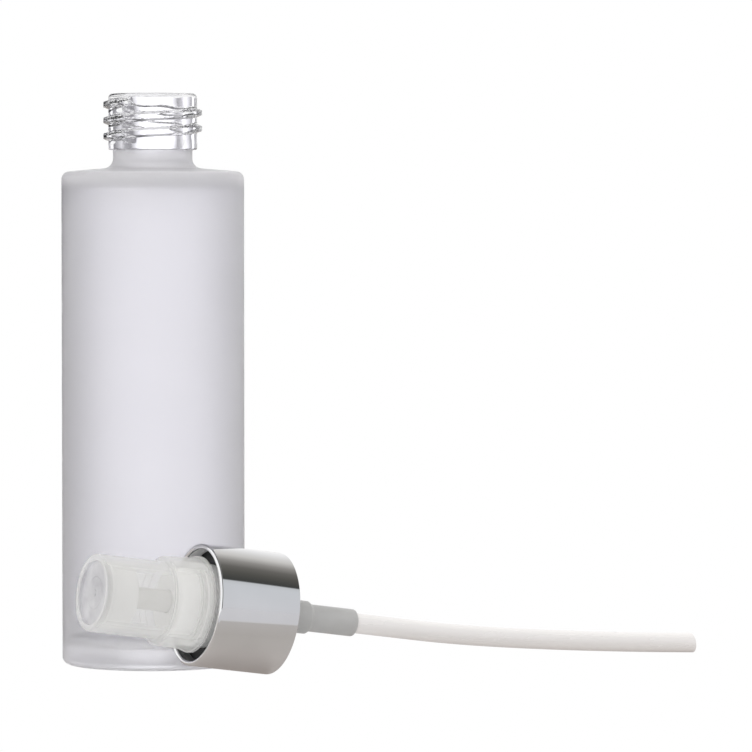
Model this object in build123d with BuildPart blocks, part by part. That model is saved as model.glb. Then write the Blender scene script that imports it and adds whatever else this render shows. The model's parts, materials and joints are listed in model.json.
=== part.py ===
from build123d import *

# Pump oil bottle: a frosted glass bottle stands open, and its unscrewed pump lies in front of it.
#
# +Z is up and the origin is the centre of the bottle's base. The pump lies along X with its head
# towards -X, on the rim of its collar and the end of its dip tube. Every pump piece is drawn in the
# pump's own upright frame: its local Z runs along the pump's axis towards the head, and height 0 is
# the head-side rim of the collar. All sizes are in millimetres and degrees.

import os
from math import asin, cos, degrees, radians, sin

# ---------------------------------------------------------------- bottle
body_radius = 18.3
bottle_height = 114.4
glass_wall = 2.2
base_thickness = 3.6
foot_rounding = 1.5
inner_foot_rounding = 3.6
inner_foot_dip = 0.5  # the inside of the base is this much lower at its edge than in the middle
foot_inner_radius = 12.8  # inner edge of the ring that the bottle stands on
push_up_slope = 1.2  # width of the slope between that ring and the raised middle
push_up = 0.9  # how far the middle of the base is raised
shoulder_edge_height = 98.7
shoulder_rounding = 1.7
neck_root_height = 99.55
neck_root_rounding = 2.0
neck_radius = 7.95
finish_height = 103.1  # underside of the thicker band that carries the thread
finish_radius = 8.9
rim_rounding = 0.9
mouth_radius = 6.2
mouth_rounding = 0.6

# 20/410 thread: 20 mm nominal, right-handed
thread_pitch = 3.175
thread_crest_radius = 9.9
thread_root_width = 2.3
thread_crest_width = 0.9
thread_sink = 0.3  # how far a thread ridge reaches into the wall that carries it
neck_thread_turns = 2.35
neck_thread_height = 105.25  # where the ridge's middle starts
neck_thread_start = 93.0  # angle from +X at which it starts

# ---------------------------------------------------------------- how the pump lies
pump_pitch = 8.3  # its axis falls this much towards the dip tube
pump_to_bottle = 0.25
collar_rim_x = -5.2  # centre of the collar's head-side rim

# ---------------------------------------------------------------- collar
collar_radius = 12.0
collar_length = 17.2
shell_wall = 0.45
lip_inner_radius = 10.95
lip_depth = 2.9

closure_top = -3.0
closure_web = 1.2
closure_hole_radius = 7.1
closure_bore_radius = 10.05
closure_end = -16.8
closure_thread_tip_radius = 9.15
closure_thread_turns = 2.2
closure_thread_start = -15.4

# ---------------------------------------------------------------- overcap
cap_end = 22.0
cap_step = 7.9
cap_open_end = -0.3
cap_wall = 0.9
cap_top_radius = 7.6
cap_step_radius = 8.7
cap_skirt_radius = 9.1
cap_bead_radius = 9.5
cap_bead_top = 0.6
cap_bore_radius = 8.3
cap_recess = 0.7
cap_recess_radius = 6.2
cap_top_thickness = 0.9
cap_gate_radius = 0.6
cap_gate_height = 0.15
cap_grip_radius = 6.85  # the inner ring that holds it on the turret
cap_grip_top = 1.9
cap_grip_bottom = 0.9

# ---------------------------------------------------------------- actuator and nozzle
actuator_radius = 6.3
actuator_top = 20.3
actuator_bottom = 14.8
actuator_wall = 0.9
actuator_roof = 17.5
dish_radius = 5.2
dish_depth = 0.9
post_radius = 3.3
post_bottom = 14.7
swivel_clearance = 0.05
pin_radius = 0.9
pin_bottom = 12.0
nozzle_height = 17.5
nozzle_angle = 150.0  # from the front, upwards: the nozzle points to the back, 30 degrees above level
nozzle_radius = 1.9
nozzle_face = 6.05  # its face's distance from the pump's axis
nozzle_length = 1.9
nozzle_boss_radius = 2.6
orifice_radius = 0.25
swirl_radius = 0.8
swirl_depth = 1.2
channel_radius = 0.6

# ---------------------------------------------------------------- stem, piston and valves
stem_radius = 2.15
stem_top = 17.1
stem_chamber_radius = 1.5
stem_passage_radius = 0.8
outlet_seat = 1.3
stem_flange_radius = 3.2
stem_flange_top = -3.2
stem_flange_thickness = 1.0
stem_tail_radius = 1.9
stem_bottom = -13.2
stem_bore_radius = 1.0
running_clearance = 0.1

piston_clearance = 0.03
piston_top = -10.5
piston_waist = 0.25
piston_lip_length = 0.7
piston_lip_slope = 0.3

plug_radius = 2.2
plug_thickness = 0.8
plug_pin_length = 2.2
plug_boss_radius = 1.25
plug_boss_length = 1.2

outlet_ball_radius = 1.2
inlet_ball_radius = 1.5
seat_gap = 0.05

spring_wire_radius = 0.22
spring_radius = 1.85
spring_turns = 7
outlet_wire_radius = 0.13
outlet_spring_radius = 1.15
outlet_spring_turns = 8
spring_gap = 0.05

# ---------------------------------------------------------------- turret, guide, seals, housing
turret_top = 5.9
turret_radius = 6.75
turret_rounding = 0.8
turret_roof = 1.2
turret_flange_radius = 8.2  # the overcap's skirt slides over this flange
turret_flange_top = 0.7
turret_flange_bottom = -2.9
turret_neck_radius = 7.0
chimney_radius = 5.6
chimney_bore_radius = 4.4
chimney_top = 1.0

guide_flange = 1.0
guide_bottom = -2.5
vent_seal_thickness = 0.6

housing_flange_radius = 8.7
housing_flange_top = -4.3
housing_flange_thickness = 1.0
gasket_radius = 8.9
gasket_thickness = 1.0

barrel_radius = 4.5
barrel_end = -9.8
upper_bore_radius = 3.7
upper_bore_end = -9.5
tail_radius = 3.25
tail_start = -11.5
pump_bore_radius = 2.5
pump_bore_start = -10.3
tail_end = -24.4
tail_chamfer = 0.8
spout_radius = 2.7
spout_end = -35.1
spout_rounding = 0.6

cage_thickness = 1.2
cage_bottom = -24.6
cage_hole_radius = 0.7
cage_slots = 3
cage_slot_width = 0.7
ball_chamber_radius = 1.9
inlet_seat = -27.9
inlet_radius = 0.95
socket_top = -28.6

# ---------------------------------------------------------------- dip tube
tube_radius = 2.0
tube_bore_radius = 1.3
tube_straight = 10.0  # straight run outside the socket
tube_first_bend = 32.0
tube_second_bend = 36.6
tube_middle_pitch = 4.5
tube_cut_angle = 9.0  # how far the far end is cut off square, with its lower side longer

# ---------------------------------------------------------------- the pump's frame
head_direction = Vector(-cos(radians(pump_pitch)), 0, sin(radians(pump_pitch)))
pump_y = -(body_radius + collar_radius + pump_to_bottle)
# the tube-side rim of the collar touches the ground plane
rim_height = collar_radius * cos(radians(pump_pitch)) + collar_length * sin(radians(pump_pitch))
pump = Plane(origin=(collar_rim_x, pump_y, rim_height), x_dir=(0, -1, 0), z_dir=head_direction)
pump_axis = Axis(pump.origin, pump.z_dir)
pump_section = Plane(origin=pump.origin, x_dir=pump.x_dir, z_dir=-pump.y_dir)


def lathe(plane, axis, *outline, mode=Mode.ADD):
    """Revolve a closed outline of (radius, height) or (radius, height, corner rounding) points."""
    points = [(point[0], point[1]) for point in outline]
    roundings = [point[2] if len(point) > 2 else 0 for point in outline]
    with BuildSketch(plane) as section:
        with BuildLine():
            FilletPolyline(*points, radius=roundings, close=True)
        make_face()
    revolve(section.sketch, axis=axis, mode=mode)


def turn(*outline, mode=Mode.ADD):
    """Revolve an outline about the pump's axis."""
    lathe(pump_section, pump_axis, *outline, mode=mode)


def helix_about(plane, radius, pitch, turns, height):
    """A right-hand helix about the plane's normal, whose start is at the given height."""
    start = plane.origin + plane.z_dir * height
    return Edge.make_helix(pitch, pitch * turns, radius, start, plane.z_dir)


def helix_start(plane, path):
    """The plane at a helix's start: X points away from the axis, and the normal runs along it."""
    start = path @ 0
    along_axis = plane.z_dir * (start - plane.origin).dot(plane.z_dir)
    return Plane(start, x_dir=start - plane.origin - along_axis, z_dir=path % 0)


def thread_ridge(plane, wall_radius, tip_radius, turns, height):
    """One thread ridge: a trapezium swept along a helix at the radius of the wall that carries it."""
    path = helix_about(plane, wall_radius, thread_pitch, turns, height)
    rise = tip_radius - wall_radius
    sink = thread_sink if rise < 0 else -thread_sink
    with BuildSketch(helix_start(plane, path)) as section:
        with BuildLine():
            Polyline(
                (sink, thread_root_width / 2),
                (rise, thread_crest_width / 2),
                (rise, -thread_crest_width / 2),
                (sink, -thread_root_width / 2),
                close=True,
            )
        make_face()
    return sweep(section.sketch, path=path, is_frenet=True, mode=Mode.PRIVATE)


def wire_spring(radius, wire_radius, turns, bottom, top):
    """An open coil spring about the pump's axis, between two heights."""
    height = top - bottom - 2 * wire_radius
    path = helix_about(pump, radius, height / turns, turns, bottom + wire_radius)
    with BuildSketch(helix_start(pump, path)) as section:
        Circle(wire_radius)
    sweep(section.sketch, path=path, is_frenet=True)


def seated_ball_height(seat_height, passage_radius, ball_radius):
    """Height of a ball's centre when it rests on a 45 degree seat above a passage."""
    return seat_height - passage_radius + ball_radius * 2**0.5 + seat_gap


# ---------------------------------------------------------------- bottle
inner_radius = body_radius - glass_wall
with BuildPart() as glass_bottle:
    lathe(
        Plane.XZ,
        Axis.Z,
        (0, push_up),
        (foot_inner_radius - push_up_slope, push_up, 2.0),
        (foot_inner_radius, 0),
        (body_radius, 0, foot_rounding),
        (body_radius, shoulder_edge_height, shoulder_rounding),
        (neck_radius, neck_root_height, neck_root_rounding),
        (neck_radius, finish_height, 0.2),
        (finish_radius, finish_height, 0.35),
        (finish_radius, bottle_height, rim_rounding),
        (0, bottle_height),
    )
    add(
        thread_ridge(
            Plane.XY, finish_radius, thread_crest_radius, neck_thread_turns, neck_thread_height
        ),
        rotation=(0, 0, neck_thread_start),
    )
    lathe(
        Plane.XZ,
        Axis.Z,
        (0, push_up + base_thickness),
        (inner_radius, push_up + base_thickness - inner_foot_dip, inner_foot_rounding),
        (inner_radius, shoulder_edge_height - glass_wall, shoulder_rounding + 0.6),
        (mouth_radius, neck_root_height - glass_wall + 0.3, neck_root_rounding),
        (mouth_radius, bottle_height - mouth_rounding),
        (mouth_radius + mouth_rounding, bottle_height),
        (mouth_radius + mouth_rounding, bottle_height + 1),
        (0, bottle_height + 1),
        mode=Mode.SUBTRACT,
    )

# ---------------------------------------------------------------- collar shell and closure
with BuildPart() as collar_shell:
    turn(
        (collar_radius, -collar_length, 0.12),
        (collar_radius, 0, 0.4),
        (lip_inner_radius, 0, 0.39),
        (lip_inner_radius, -lip_depth),
        (collar_radius - shell_wall, -lip_depth),
        (collar_radius - shell_wall, -collar_length),
    )

closure_radius = collar_radius - shell_wall
with BuildPart() as threaded_closure:
    turn(
        (closure_hole_radius, closure_top),
        (closure_radius, closure_top, 0.3),
        (closure_radius, closure_end, 0.3),
        (closure_bore_radius, closure_end, 0.4),
        (closure_bore_radius, closure_top - closure_web, 0.3),
        (closure_hole_radius, closure_top - closure_web),
    )
    add(
        thread_ridge(
            pump,
            closure_bore_radius,
            closure_thread_tip_radius,
            closure_thread_turns,
            closure_thread_start,
        )
    )

# ---------------------------------------------------------------- overcap
cap_roof = cap_end - cap_recess - cap_top_thickness
with BuildPart() as overcap:
    turn(
        (0, cap_end - cap_recess + cap_gate_height),
        (cap_gate_radius, cap_end - cap_recess + cap_gate_height),
        (cap_gate_radius, cap_end - cap_recess),
        (cap_recess_radius, cap_end - cap_recess, 0.2),
        (cap_recess_radius, cap_end, 0.2),
        (cap_top_radius, cap_end, 0.5),
        (cap_top_radius, cap_step, 0.4),
        (cap_step_radius, cap_step, 0.6),
        (cap_skirt_radius, cap_bead_top, 0.2),
        (cap_bead_radius, cap_bead_top, 0.2),
        (cap_bead_radius, cap_open_end, 0.3),
        (cap_bore_radius, cap_open_end, 0.3),
        (cap_bore_radius, cap_grip_bottom, 0.2),
        (cap_grip_radius, cap_grip_bottom, 0.2),
        (cap_grip_radius, cap_grip_top, 0.2),
        (cap_bore_radius, cap_grip_top, 0.2),
        (cap_step_radius - cap_wall, cap_step - cap_wall, 0.3),
        (cap_top_radius - cap_wall, cap_step - cap_wall, 0.3),
        (cap_top_radius - cap_wall, cap_roof, 0.4),
        (0, cap_roof),
    )

# ---------------------------------------------------------------- actuator and nozzle insert
nozzle_turn = radians(nozzle_angle)
nozzle_direction = pump.x_dir * cos(nozzle_turn) + pump.y_dir * sin(nozzle_turn)
nozzle_origin = pump.origin + pump.z_dir * nozzle_height
nozzle_plane = Plane(nozzle_origin, x_dir=pump.z_dir, z_dir=nozzle_direction)
dish_sphere = (dish_radius**2 + dish_depth**2) / (2 * dish_depth)
skirt_inner_radius = actuator_radius - actuator_wall
post_top = actuator_roof + actuator_wall

with BuildPart() as actuator:
    turn(
        (0, actuator_roof),
        (post_radius, actuator_roof),
        (skirt_inner_radius, actuator_roof, 0.6),
        (skirt_inner_radius, actuator_bottom),
        (actuator_radius, actuator_bottom, 0.2),
        (actuator_radius, actuator_top, 0.7),
        (0, actuator_top),
    )
    turn(
        (0, post_bottom),
        (post_radius, post_bottom, 0.3),
        (post_radius, post_top),
        (0, post_top),
    )
    with BuildSketch(nozzle_plane):
        Circle(nozzle_boss_radius)
    extrude(amount=actuator_radius - actuator_wall / 2)
    turn(
        (0, post_bottom),
        (stem_radius + swivel_clearance, post_bottom),
        (stem_radius + swivel_clearance, stem_top + swivel_clearance),
        (0, stem_top + swivel_clearance),
        mode=Mode.SUBTRACT,
    )
    turn(
        (0, stem_top - 0.5),
        (stem_chamber_radius, stem_top - 0.5),
        (stem_chamber_radius, nozzle_height + swirl_radius),
        (0, nozzle_height + swirl_radius),
        mode=Mode.SUBTRACT,
    )
    turn((0, pin_bottom), (pin_radius, pin_bottom), (pin_radius, post_top), (0, post_top))
    with BuildSketch(nozzle_plane.offset(stem_chamber_radius - 0.4)):
        Circle(channel_radius)
    extrude(amount=actuator_radius, mode=Mode.SUBTRACT)
    with BuildSketch(nozzle_plane.offset(nozzle_face - nozzle_length)):
        Circle(nozzle_radius)
    extrude(amount=actuator_radius, mode=Mode.SUBTRACT)
    with BuildSketch(pump_section):
        with BuildLine():
            RadiusArc((dish_radius, actuator_top), (0, actuator_top - dish_depth), dish_sphere)
            Polyline(
                (0, actuator_top - dish_depth),
                (0, actuator_top + dish_depth),
                (dish_radius, actuator_top + dish_depth),
                (dish_radius, actuator_top),
            )
        make_face()
    revolve(axis=pump_axis, mode=Mode.SUBTRACT)

with BuildPart() as nozzle_insert:
    with BuildSketch(nozzle_plane.offset(nozzle_face)):
        Circle(nozzle_radius)
    extrude(amount=-nozzle_length)
    with BuildSketch(nozzle_plane.offset(nozzle_face)):
        Circle(orifice_radius)
    extrude(amount=-nozzle_length, mode=Mode.SUBTRACT)
    with BuildSketch(nozzle_plane.offset(nozzle_face - nozzle_length)):
        Circle(swirl_radius)
    extrude(amount=swirl_depth, mode=Mode.SUBTRACT)

# ---------------------------------------------------------------- stem, piston and plug
flange_bottom = stem_flange_top - stem_flange_thickness
seat_top = outlet_seat + stem_chamber_radius - stem_passage_radius
with BuildPart() as stem:
    turn(
        (stem_chamber_radius, stem_top),
        (stem_radius, stem_top),
        (stem_radius, stem_flange_top),
        (stem_flange_radius, stem_flange_top),
        (stem_flange_radius, flange_bottom, 0.2),
        (stem_tail_radius, flange_bottom, 0.3),
        (stem_tail_radius, stem_bottom),
        (stem_bore_radius, stem_bottom),
        (stem_bore_radius, piston_top),
        (stem_passage_radius, piston_top),
        (stem_passage_radius, outlet_seat),
        (stem_chamber_radius, seat_top),
    )

piston_radius = pump_bore_radius - piston_clearance
with BuildPart() as piston:
    turn(
        (stem_tail_radius, piston_top - piston_lip_slope),
        (piston_radius - piston_waist, piston_top - piston_lip_slope),
        (piston_radius, piston_top),
        (piston_radius, piston_top - piston_lip_length),
        (piston_radius - piston_waist, piston_top - piston_lip_length - piston_lip_slope),
        (piston_radius - piston_waist, stem_bottom + piston_lip_length + piston_lip_slope),
        (piston_radius, stem_bottom + piston_lip_length),
        (piston_radius, stem_bottom),
        (stem_tail_radius, stem_bottom),
    )

plug_bottom = stem_bottom - plug_thickness
with BuildPart() as valve_plug:
    turn(
        (0, stem_bottom + plug_pin_length),
        (stem_bore_radius, stem_bottom + plug_pin_length, 0.2),
        (stem_bore_radius, stem_bottom),
        (plug_radius, stem_bottom),
        (plug_radius, plug_bottom),
        (plug_boss_radius, plug_bottom),
        (plug_boss_radius, plug_bottom - plug_boss_length, 0.3),
        (0, plug_bottom - plug_boss_length),
    )
    # a groove along the pin lets the oil into the stem
    with BuildSketch(pump.offset(stem_bottom)):
        with Locations((stem_bore_radius, 0)):
            Rectangle(stem_bore_radius, stem_bore_radius * 0.6)
    extrude(amount=plug_pin_length, mode=Mode.SUBTRACT)

# ---------------------------------------------------------------- outlet valve
outlet_ball_height = seated_ball_height(outlet_seat, stem_passage_radius, outlet_ball_radius)
with BuildPart() as outlet_ball:
    with Locations(pump.origin + pump.z_dir * outlet_ball_height):
        Sphere(outlet_ball_radius)

with BuildPart() as outlet_spring:
    wire_spring(
        outlet_spring_radius,
        outlet_wire_radius,
        outlet_spring_turns,
        outlet_ball_height + outlet_ball_radius + spring_gap,
        pin_bottom - spring_gap,
    )

# ---------------------------------------------------------------- turret, stem guide and seals
guide_bore_radius = stem_radius + running_clearance
with BuildPart() as turret:
    turn(
        (guide_bore_radius, turret_top),
        (turret_radius, turret_top, turret_rounding),
        (turret_radius, turret_flange_top, 0.4),
        (turret_flange_radius, turret_flange_top, 0.3),
        (turret_flange_radius, turret_flange_bottom),
        (turret_neck_radius, turret_flange_bottom),
        (turret_neck_radius, housing_flange_top),
        (chimney_radius, housing_flange_top),
        (chimney_radius, turret_top - turret_roof, 0.3),
        (guide_bore_radius, turret_top - turret_roof),
    )

with BuildPart() as stem_guide:
    turn(
        (guide_bore_radius, chimney_top + guide_flange),
        (chimney_radius - running_clearance, chimney_top + guide_flange, 0.2),
        (chimney_radius - running_clearance, chimney_top),
        (chimney_bore_radius, chimney_top),
        (chimney_bore_radius, guide_bottom, 0.2),
        (guide_bore_radius, guide_bottom),
    )

with BuildPart() as vent_seal:
    turn(
        (guide_bore_radius, guide_bottom),
        (chimney_bore_radius, guide_bottom),
        (chimney_bore_radius, guide_bottom - vent_seal_thickness),
        (guide_bore_radius, guide_bottom - vent_seal_thickness),
    )

flange_underside = housing_flange_top - housing_flange_thickness
with BuildPart() as neck_gasket:
    turn(
        (barrel_radius, flange_underside),
        (gasket_radius, flange_underside),
        (gasket_radius, flange_underside - gasket_thickness),
        (barrel_radius, flange_underside - gasket_thickness),
    )

# ---------------------------------------------------------------- housing
ball_chamber_bottom = inlet_seat + ball_chamber_radius - inlet_radius
with BuildPart() as pump_housing:
    turn(
        (chimney_bore_radius, chimney_top),
        (chimney_radius, chimney_top),
        (chimney_radius, housing_flange_top),
        (housing_flange_radius, housing_flange_top),
        (housing_flange_radius, flange_underside, 0.2),
        (barrel_radius, flange_underside),
        (barrel_radius, barrel_end, 0.5),
        (tail_radius, tail_start, 0.5),
        (tail_radius, tail_end, 0.2),
        (spout_radius, tail_end - tail_chamfer),
        (spout_radius, spout_end, spout_rounding),
        (tube_radius, spout_end),
        (tube_radius, socket_top),
        (inlet_radius, socket_top),
        (inlet_radius, inlet_seat),
        (ball_chamber_radius, ball_chamber_bottom),
        (ball_chamber_radius, cage_bottom),
        (pump_bore_radius, cage_bottom),
        (pump_bore_radius, pump_bore_start),
        (upper_bore_radius, upper_bore_end),
        (upper_bore_radius, housing_flange_top),
        (chimney_bore_radius, housing_flange_top),
    )

with BuildPart() as ball_cage:
    with BuildSketch(pump.offset(cage_bottom)):
        Circle(pump_bore_radius)
        Circle(cage_hole_radius, mode=Mode.SUBTRACT)
        with PolarLocations(cage_hole_radius, cage_slots):
            Rectangle(pump_bore_radius - cage_hole_radius, cage_slot_width, mode=Mode.SUBTRACT)
    extrude(amount=cage_thickness)

inlet_ball_height = seated_ball_height(inlet_seat, inlet_radius, inlet_ball_radius)
with BuildPart() as inlet_ball:
    with Locations(pump.origin + pump.z_dir * inlet_ball_height):
        Sphere(inlet_ball_radius)

with BuildPart() as return_spring:
    wire_spring(
        spring_radius,
        spring_wire_radius,
        spring_turns,
        cage_bottom + cage_thickness + spring_gap,
        plug_bottom - spring_gap,
    )

# ---------------------------------------------------------------- dip tube
# It leaves the socket along the pump's axis and curves up until its end lies on the ground plane.
front = Plane(origin=(0, pump_y, 0), x_dir=(1, 0, 0), z_dir=(0, -1, 0))


def on_axis(height):
    """A point of the pump's axis in the front plane's (x, z) coordinates."""
    point = pump.origin + pump.z_dir * height
    return point.X, point.Z


tube_start = on_axis(socket_top)
bend_start = on_axis(spout_end - tube_straight)
first_bend = radians(pump_pitch - tube_middle_pitch)
middle_height = bend_start[1] - tube_first_bend * sin(radians((pump_pitch + tube_middle_pitch) / 2))
fall_left = middle_height - tube_radius
tube_end_pitch = 2 * degrees(asin(fall_left / tube_second_bend)) - tube_middle_pitch
second_bend = radians(tube_middle_pitch - tube_end_pitch)

with BuildPart() as dip_tube:
    with BuildLine(front) as tube_route:
        straight = Line(tube_start, bend_start)
        bend = JernArc(
            start=straight @ 1,
            tangent=straight % 1,
            radius=tube_first_bend / first_bend,
            arc_size=degrees(first_bend),
        )
        JernArc(
            start=bend @ 1,
            tangent=bend % 1,
            radius=tube_second_bend / second_bend,
            arc_size=degrees(second_bend),
        )
    route = tube_route.wire()
    with BuildSketch(Plane(route @ 0, z_dir=route % 0)):
        Circle(tube_radius)
        Circle(tube_bore_radius, mode=Mode.SUBTRACT)
    sweep(path=route)
    # the far end is cut a little off square
    tube_end = route @ 1
    cut_direction = (route % 1).rotate(Axis.Y, -tube_cut_angle)
    cut_point = tube_end - (route % 1) * (tube_radius * sin(radians(tube_cut_angle)))
    split(bisect_by=Plane(cut_point, z_dir=cut_direction), keep=Keep.BOTTOM)

# ---------------------------------------------------------------- files
pieces = {
    "glass_bottle": glass_bottle,
    "collar_shell": collar_shell,
    "threaded_closure": threaded_closure,
    "overcap": overcap,
    "actuator": actuator,
    "nozzle_insert": nozzle_insert,
    "stem": stem,
    "piston": piston,
    "valve_plug": valve_plug,
    "outlet_ball": outlet_ball,
    "outlet_spring": outlet_spring,
    "turret": turret,
    "stem_guide": stem_guide,
    "vent_seal": vent_seal,
    "neck_gasket": neck_gasket,
    "pump_housing": pump_housing,
    "ball_cage": ball_cage,
    "inlet_ball": inlet_ball,
    "return_spring": return_spring,
    "dip_tube": dip_tube,
}
os.makedirs("parts", exist_ok=True)
for name, piece in pieces.items():
    piece.part.label = name
    export_step(piece.part, f"parts/{name}.step")
print(f"dip tube: end pitch {tube_end_pitch:.2f}, bend radii {tube_first_bend / first_bend:.0f} "
      f"and {tube_second_bend / second_bend:.0f}, length {route.length:.1f}")
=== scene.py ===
import json
import math

import bpy
from mathutils import Matrix, Vector


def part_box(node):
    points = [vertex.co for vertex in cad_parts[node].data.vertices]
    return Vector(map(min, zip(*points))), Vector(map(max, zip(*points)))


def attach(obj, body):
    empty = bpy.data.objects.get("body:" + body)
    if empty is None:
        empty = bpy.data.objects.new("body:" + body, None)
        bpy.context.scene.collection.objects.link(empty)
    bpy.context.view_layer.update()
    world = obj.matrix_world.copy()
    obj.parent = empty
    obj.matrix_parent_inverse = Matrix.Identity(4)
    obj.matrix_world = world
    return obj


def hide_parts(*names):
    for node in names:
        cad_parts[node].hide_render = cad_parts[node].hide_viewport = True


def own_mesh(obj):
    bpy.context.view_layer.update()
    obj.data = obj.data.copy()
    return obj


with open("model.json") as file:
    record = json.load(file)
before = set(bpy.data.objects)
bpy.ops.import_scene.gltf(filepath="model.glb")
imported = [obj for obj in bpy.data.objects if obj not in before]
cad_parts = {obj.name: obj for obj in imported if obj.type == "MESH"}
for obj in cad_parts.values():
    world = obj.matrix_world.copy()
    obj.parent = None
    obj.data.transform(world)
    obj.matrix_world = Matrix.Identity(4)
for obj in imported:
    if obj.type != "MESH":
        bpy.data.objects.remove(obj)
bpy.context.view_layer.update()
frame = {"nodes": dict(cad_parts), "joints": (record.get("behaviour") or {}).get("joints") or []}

MM = 0.001

# ---------------------------------------------------------------- sizes, in millimetres and degrees
# They repeat the CAD part's, so each piece fills its node's place. One differs on purpose: the inside
# of the bottle's shoulder, INNER_TOP, is 1.4 mm higher than the CAD's.
BODY_RADIUS = 18.3
BOTTLE_HEIGHT = 114.4
INNER_RADIUS = 16.1
INNER_BOTTOM = 4.0
INNER_TOP = 97.9
INNER_TOP_SLOPE = 0.4  # the inside of the shoulder is this much higher at the neck
INNER_TOP_ROUNDING = 2.8
INNER_NECK_ROUNDING = 1.6
INNER_FOOT_DIP = 0.5  # the inside of the base is this much lower at its edge
PUSH_UP = 0.9
PUSH_UP_SLOPE = 1.2
FOOT_INNER_RADIUS = 12.8
FOOT_ROUNDING = 1.5
INNER_FOOT_ROUNDING = 3.6
SHOULDER = 98.7
SHOULDER_ROUNDING = 1.7
NECK_ROOT = 99.55
NECK_ROOT_ROUNDING = 2.0
NECK_RADIUS = 7.95
FINISH_HEIGHT = 103.1
FINISH_RADIUS = 8.9
RIM_ROUNDING = 0.9
MOUTH_RADIUS = 6.2
MOUTH_ROUNDING = 0.6
CLOUDY_BELOW = 101.0  # the inside is hazy below this height
KNURLS = 72
KNURL_DEPTH = 0.12
KNURL_RINGS = (0.3, 1.0)  # extra rings that carry the knurl, from the foot's inner edge

THREAD_PITCH = 3.175
THREAD_ROOT_HALF = 0.95
THREAD_CREST_HALF = 0.45
THREAD_FADE = 25.0  # each end of a thread rises over this angle
NECK_THREAD_RISE = 1.0
NECK_THREAD_TURNS = 2.35
NECK_THREAD_HEIGHT = 105.25
NECK_THREAD_START = 93.0

COLLAR_RADIUS = 12.0
COLLAR_LENGTH = 17.2
SHELL_WALL = 0.45
SHELL_EDGE_ROUNDING = 0.12
LIP_INNER_RADIUS = 10.95
LIP_DEPTH = 2.9
CLOSURE_TOP = -3.0
CLOSURE_WEB_END = -4.2
CLOSURE_END = -16.8
CLOSURE_HOLE_RADIUS = 7.1
CLOSURE_RADIUS = 11.53
CLOSURE_BORE_RADIUS = 10.05
CLOSURE_THREAD_RISE = 0.9
CLOSURE_THREAD_TURNS = 2.2
CLOSURE_THREAD_HEIGHT = -15.4

CAP_END = 22.0
CAP_RECESS = 0.7
CAP_RECESS_RADIUS = 6.2
CAP_STEP = 7.9
CAP_OPEN_END = -0.3
CAP_BORE_RADIUS = 8.3
CAP_GRIP_RADIUS = 6.85
CAP_GRIP_TOP = 1.9
CAP_GRIP_BOTTOM = 0.9
CAP_WALL = 0.9
CAP_TOP_RADIUS = 7.6
CAP_STEP_RADIUS = 8.7
CAP_SKIRT_RADIUS = 9.1
CAP_BEAD_RADIUS = 9.5
CAP_BEAD_TOP = 0.6
CAP_GATE_RADIUS = 0.6
CAP_GATE_HEIGHT = 0.15
CAP_DISC_RADIUS = 3.1  # inside this radius the end face stands CAP_DISC_HEIGHT proud
CAP_DISC_HEIGHT = 0.08

STEM_RADIUS = 2.15
STEM_TOP = 17.1
STEM_FLANGE_RADIUS = 3.2
STEM_FLANGE_TOP = -3.2
STEM_FLANGE_BOTTOM = -4.2
STEM_TAIL_RADIUS = 1.9
STEM_BOTTOM = -13.2
STEM_BORE_RADIUS = 1.0
STEM_BORE_TOP = -10.5
STEM_PASSAGE_RADIUS = 0.8
OUTLET_SEAT = 1.3
OUTLET_SEAT_TOP = 2.0
STEM_CHAMBER_RADIUS = 1.5

GUIDE_BORE_RADIUS = 2.25
TURRET_TOP = 5.9
TURRET_ROOF_BOTTOM = 4.7
TURRET_RADIUS = 6.75
TURRET_FLANGE_RADIUS = 8.2
TURRET_FLANGE_TOP = 0.7
TURRET_FLANGE_BOTTOM = -2.9
TURRET_NECK_RADIUS = 7.0
CHIMNEY_RADIUS = 5.6
CHIMNEY_BORE_RADIUS = 4.4
CHIMNEY_TOP = 1.0

HOUSING_FLANGE_RADIUS = 8.7
HOUSING_FLANGE_TOP = -4.3
HOUSING_FLANGE_BOTTOM = -5.3
BARREL_RADIUS = 4.5
BARREL_END = -9.8
UPPER_BORE_RADIUS = 3.7
UPPER_BORE_END = -9.5
TAIL_RADIUS = 3.25
TAIL_START = -11.5
TAIL_END = -24.4
PUMP_BORE_RADIUS = 2.5
PUMP_BORE_START = -10.3
CAGE_BOTTOM = -24.6
BALL_CHAMBER_RADIUS = 1.9
BALL_CHAMBER_BOTTOM = -26.95
INLET_SEAT = -27.9
INLET_RADIUS = 0.95
SPOUT_RADIUS = 2.7
SPOUT_START = -25.2

TUBE_RADIUS = 2.0
TUBE_BORE_RADIUS = 1.3
SOCKET_TOP = -28.6
SPOUT_END = -35.1
TUBE_STRAIGHT = 10.0
TUBE_FIRST_BEND = 32.0
TUBE_SECOND_BEND = 36.6
TUBE_MIDDLE_PITCH = 4.5
TUBE_CUT = 9.0  # the far end is cut this far off square, with its lower side longer

RETURN_SPRING_BOTTOM = -23.35
RETURN_SPRING_TOP = -14.05
RETURN_SPRING_RADIUS = 1.85
RETURN_WIRE_RADIUS = 0.22
RETURN_SPRING_TURNS = 7
OUTLET_SPRING_BOTTOM = 3.497
OUTLET_SPRING_TOP = 11.95
OUTLET_SPRING_RADIUS = 1.15
OUTLET_WIRE_RADIUS = 0.13
OUTLET_SPRING_TURNS = 8

SEGMENTS = 192
BOTTLE_SEGMENTS = 288
SHARP = math.radians(32)

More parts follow.
